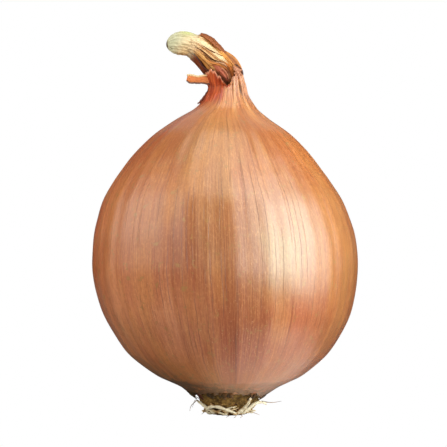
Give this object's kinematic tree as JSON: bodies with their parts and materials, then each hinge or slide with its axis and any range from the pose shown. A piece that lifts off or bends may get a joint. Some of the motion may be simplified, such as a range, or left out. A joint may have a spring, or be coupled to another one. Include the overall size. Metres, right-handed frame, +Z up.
{
  "type": "onion",
  "caption": "Whole yellow onion with ribbed papery scale, a torn rim, a dried twisted neck bent to one side and a tuft of dried roots.",
  "frame": {"origin": "on the resting surface, under the middle of the bulb's widest ring", "axes": "+Z up from the root tuft to the neck; +X to the viewer's right, the neck bends over towards -X; -Y faces the viewer"},
  "size_m": [0.0799, 0.0785, 0.1145],
  "materials": {
    "papery_scale": "satin, with fine lengthwise fibres",
    "neck_sheath": "matt, dry and fibrous",
    "pale_leaf_end": "matt, cream with a green tint",
    "torn_scale": "satin, rust brown",
    "root_plate": "matt, dark and corky",
    "dried_root": "matt, dry"
  },
  "bodies": {
    "root": {"bulb": "papery_scale", "neck": "neck_sheath", "neck_tip": "pale_leaf_end", "neck_flap": "torn_scale", "basal_plate": "root_plate", "root_tuft": "dried_root"}
  },
  "joints": []
}
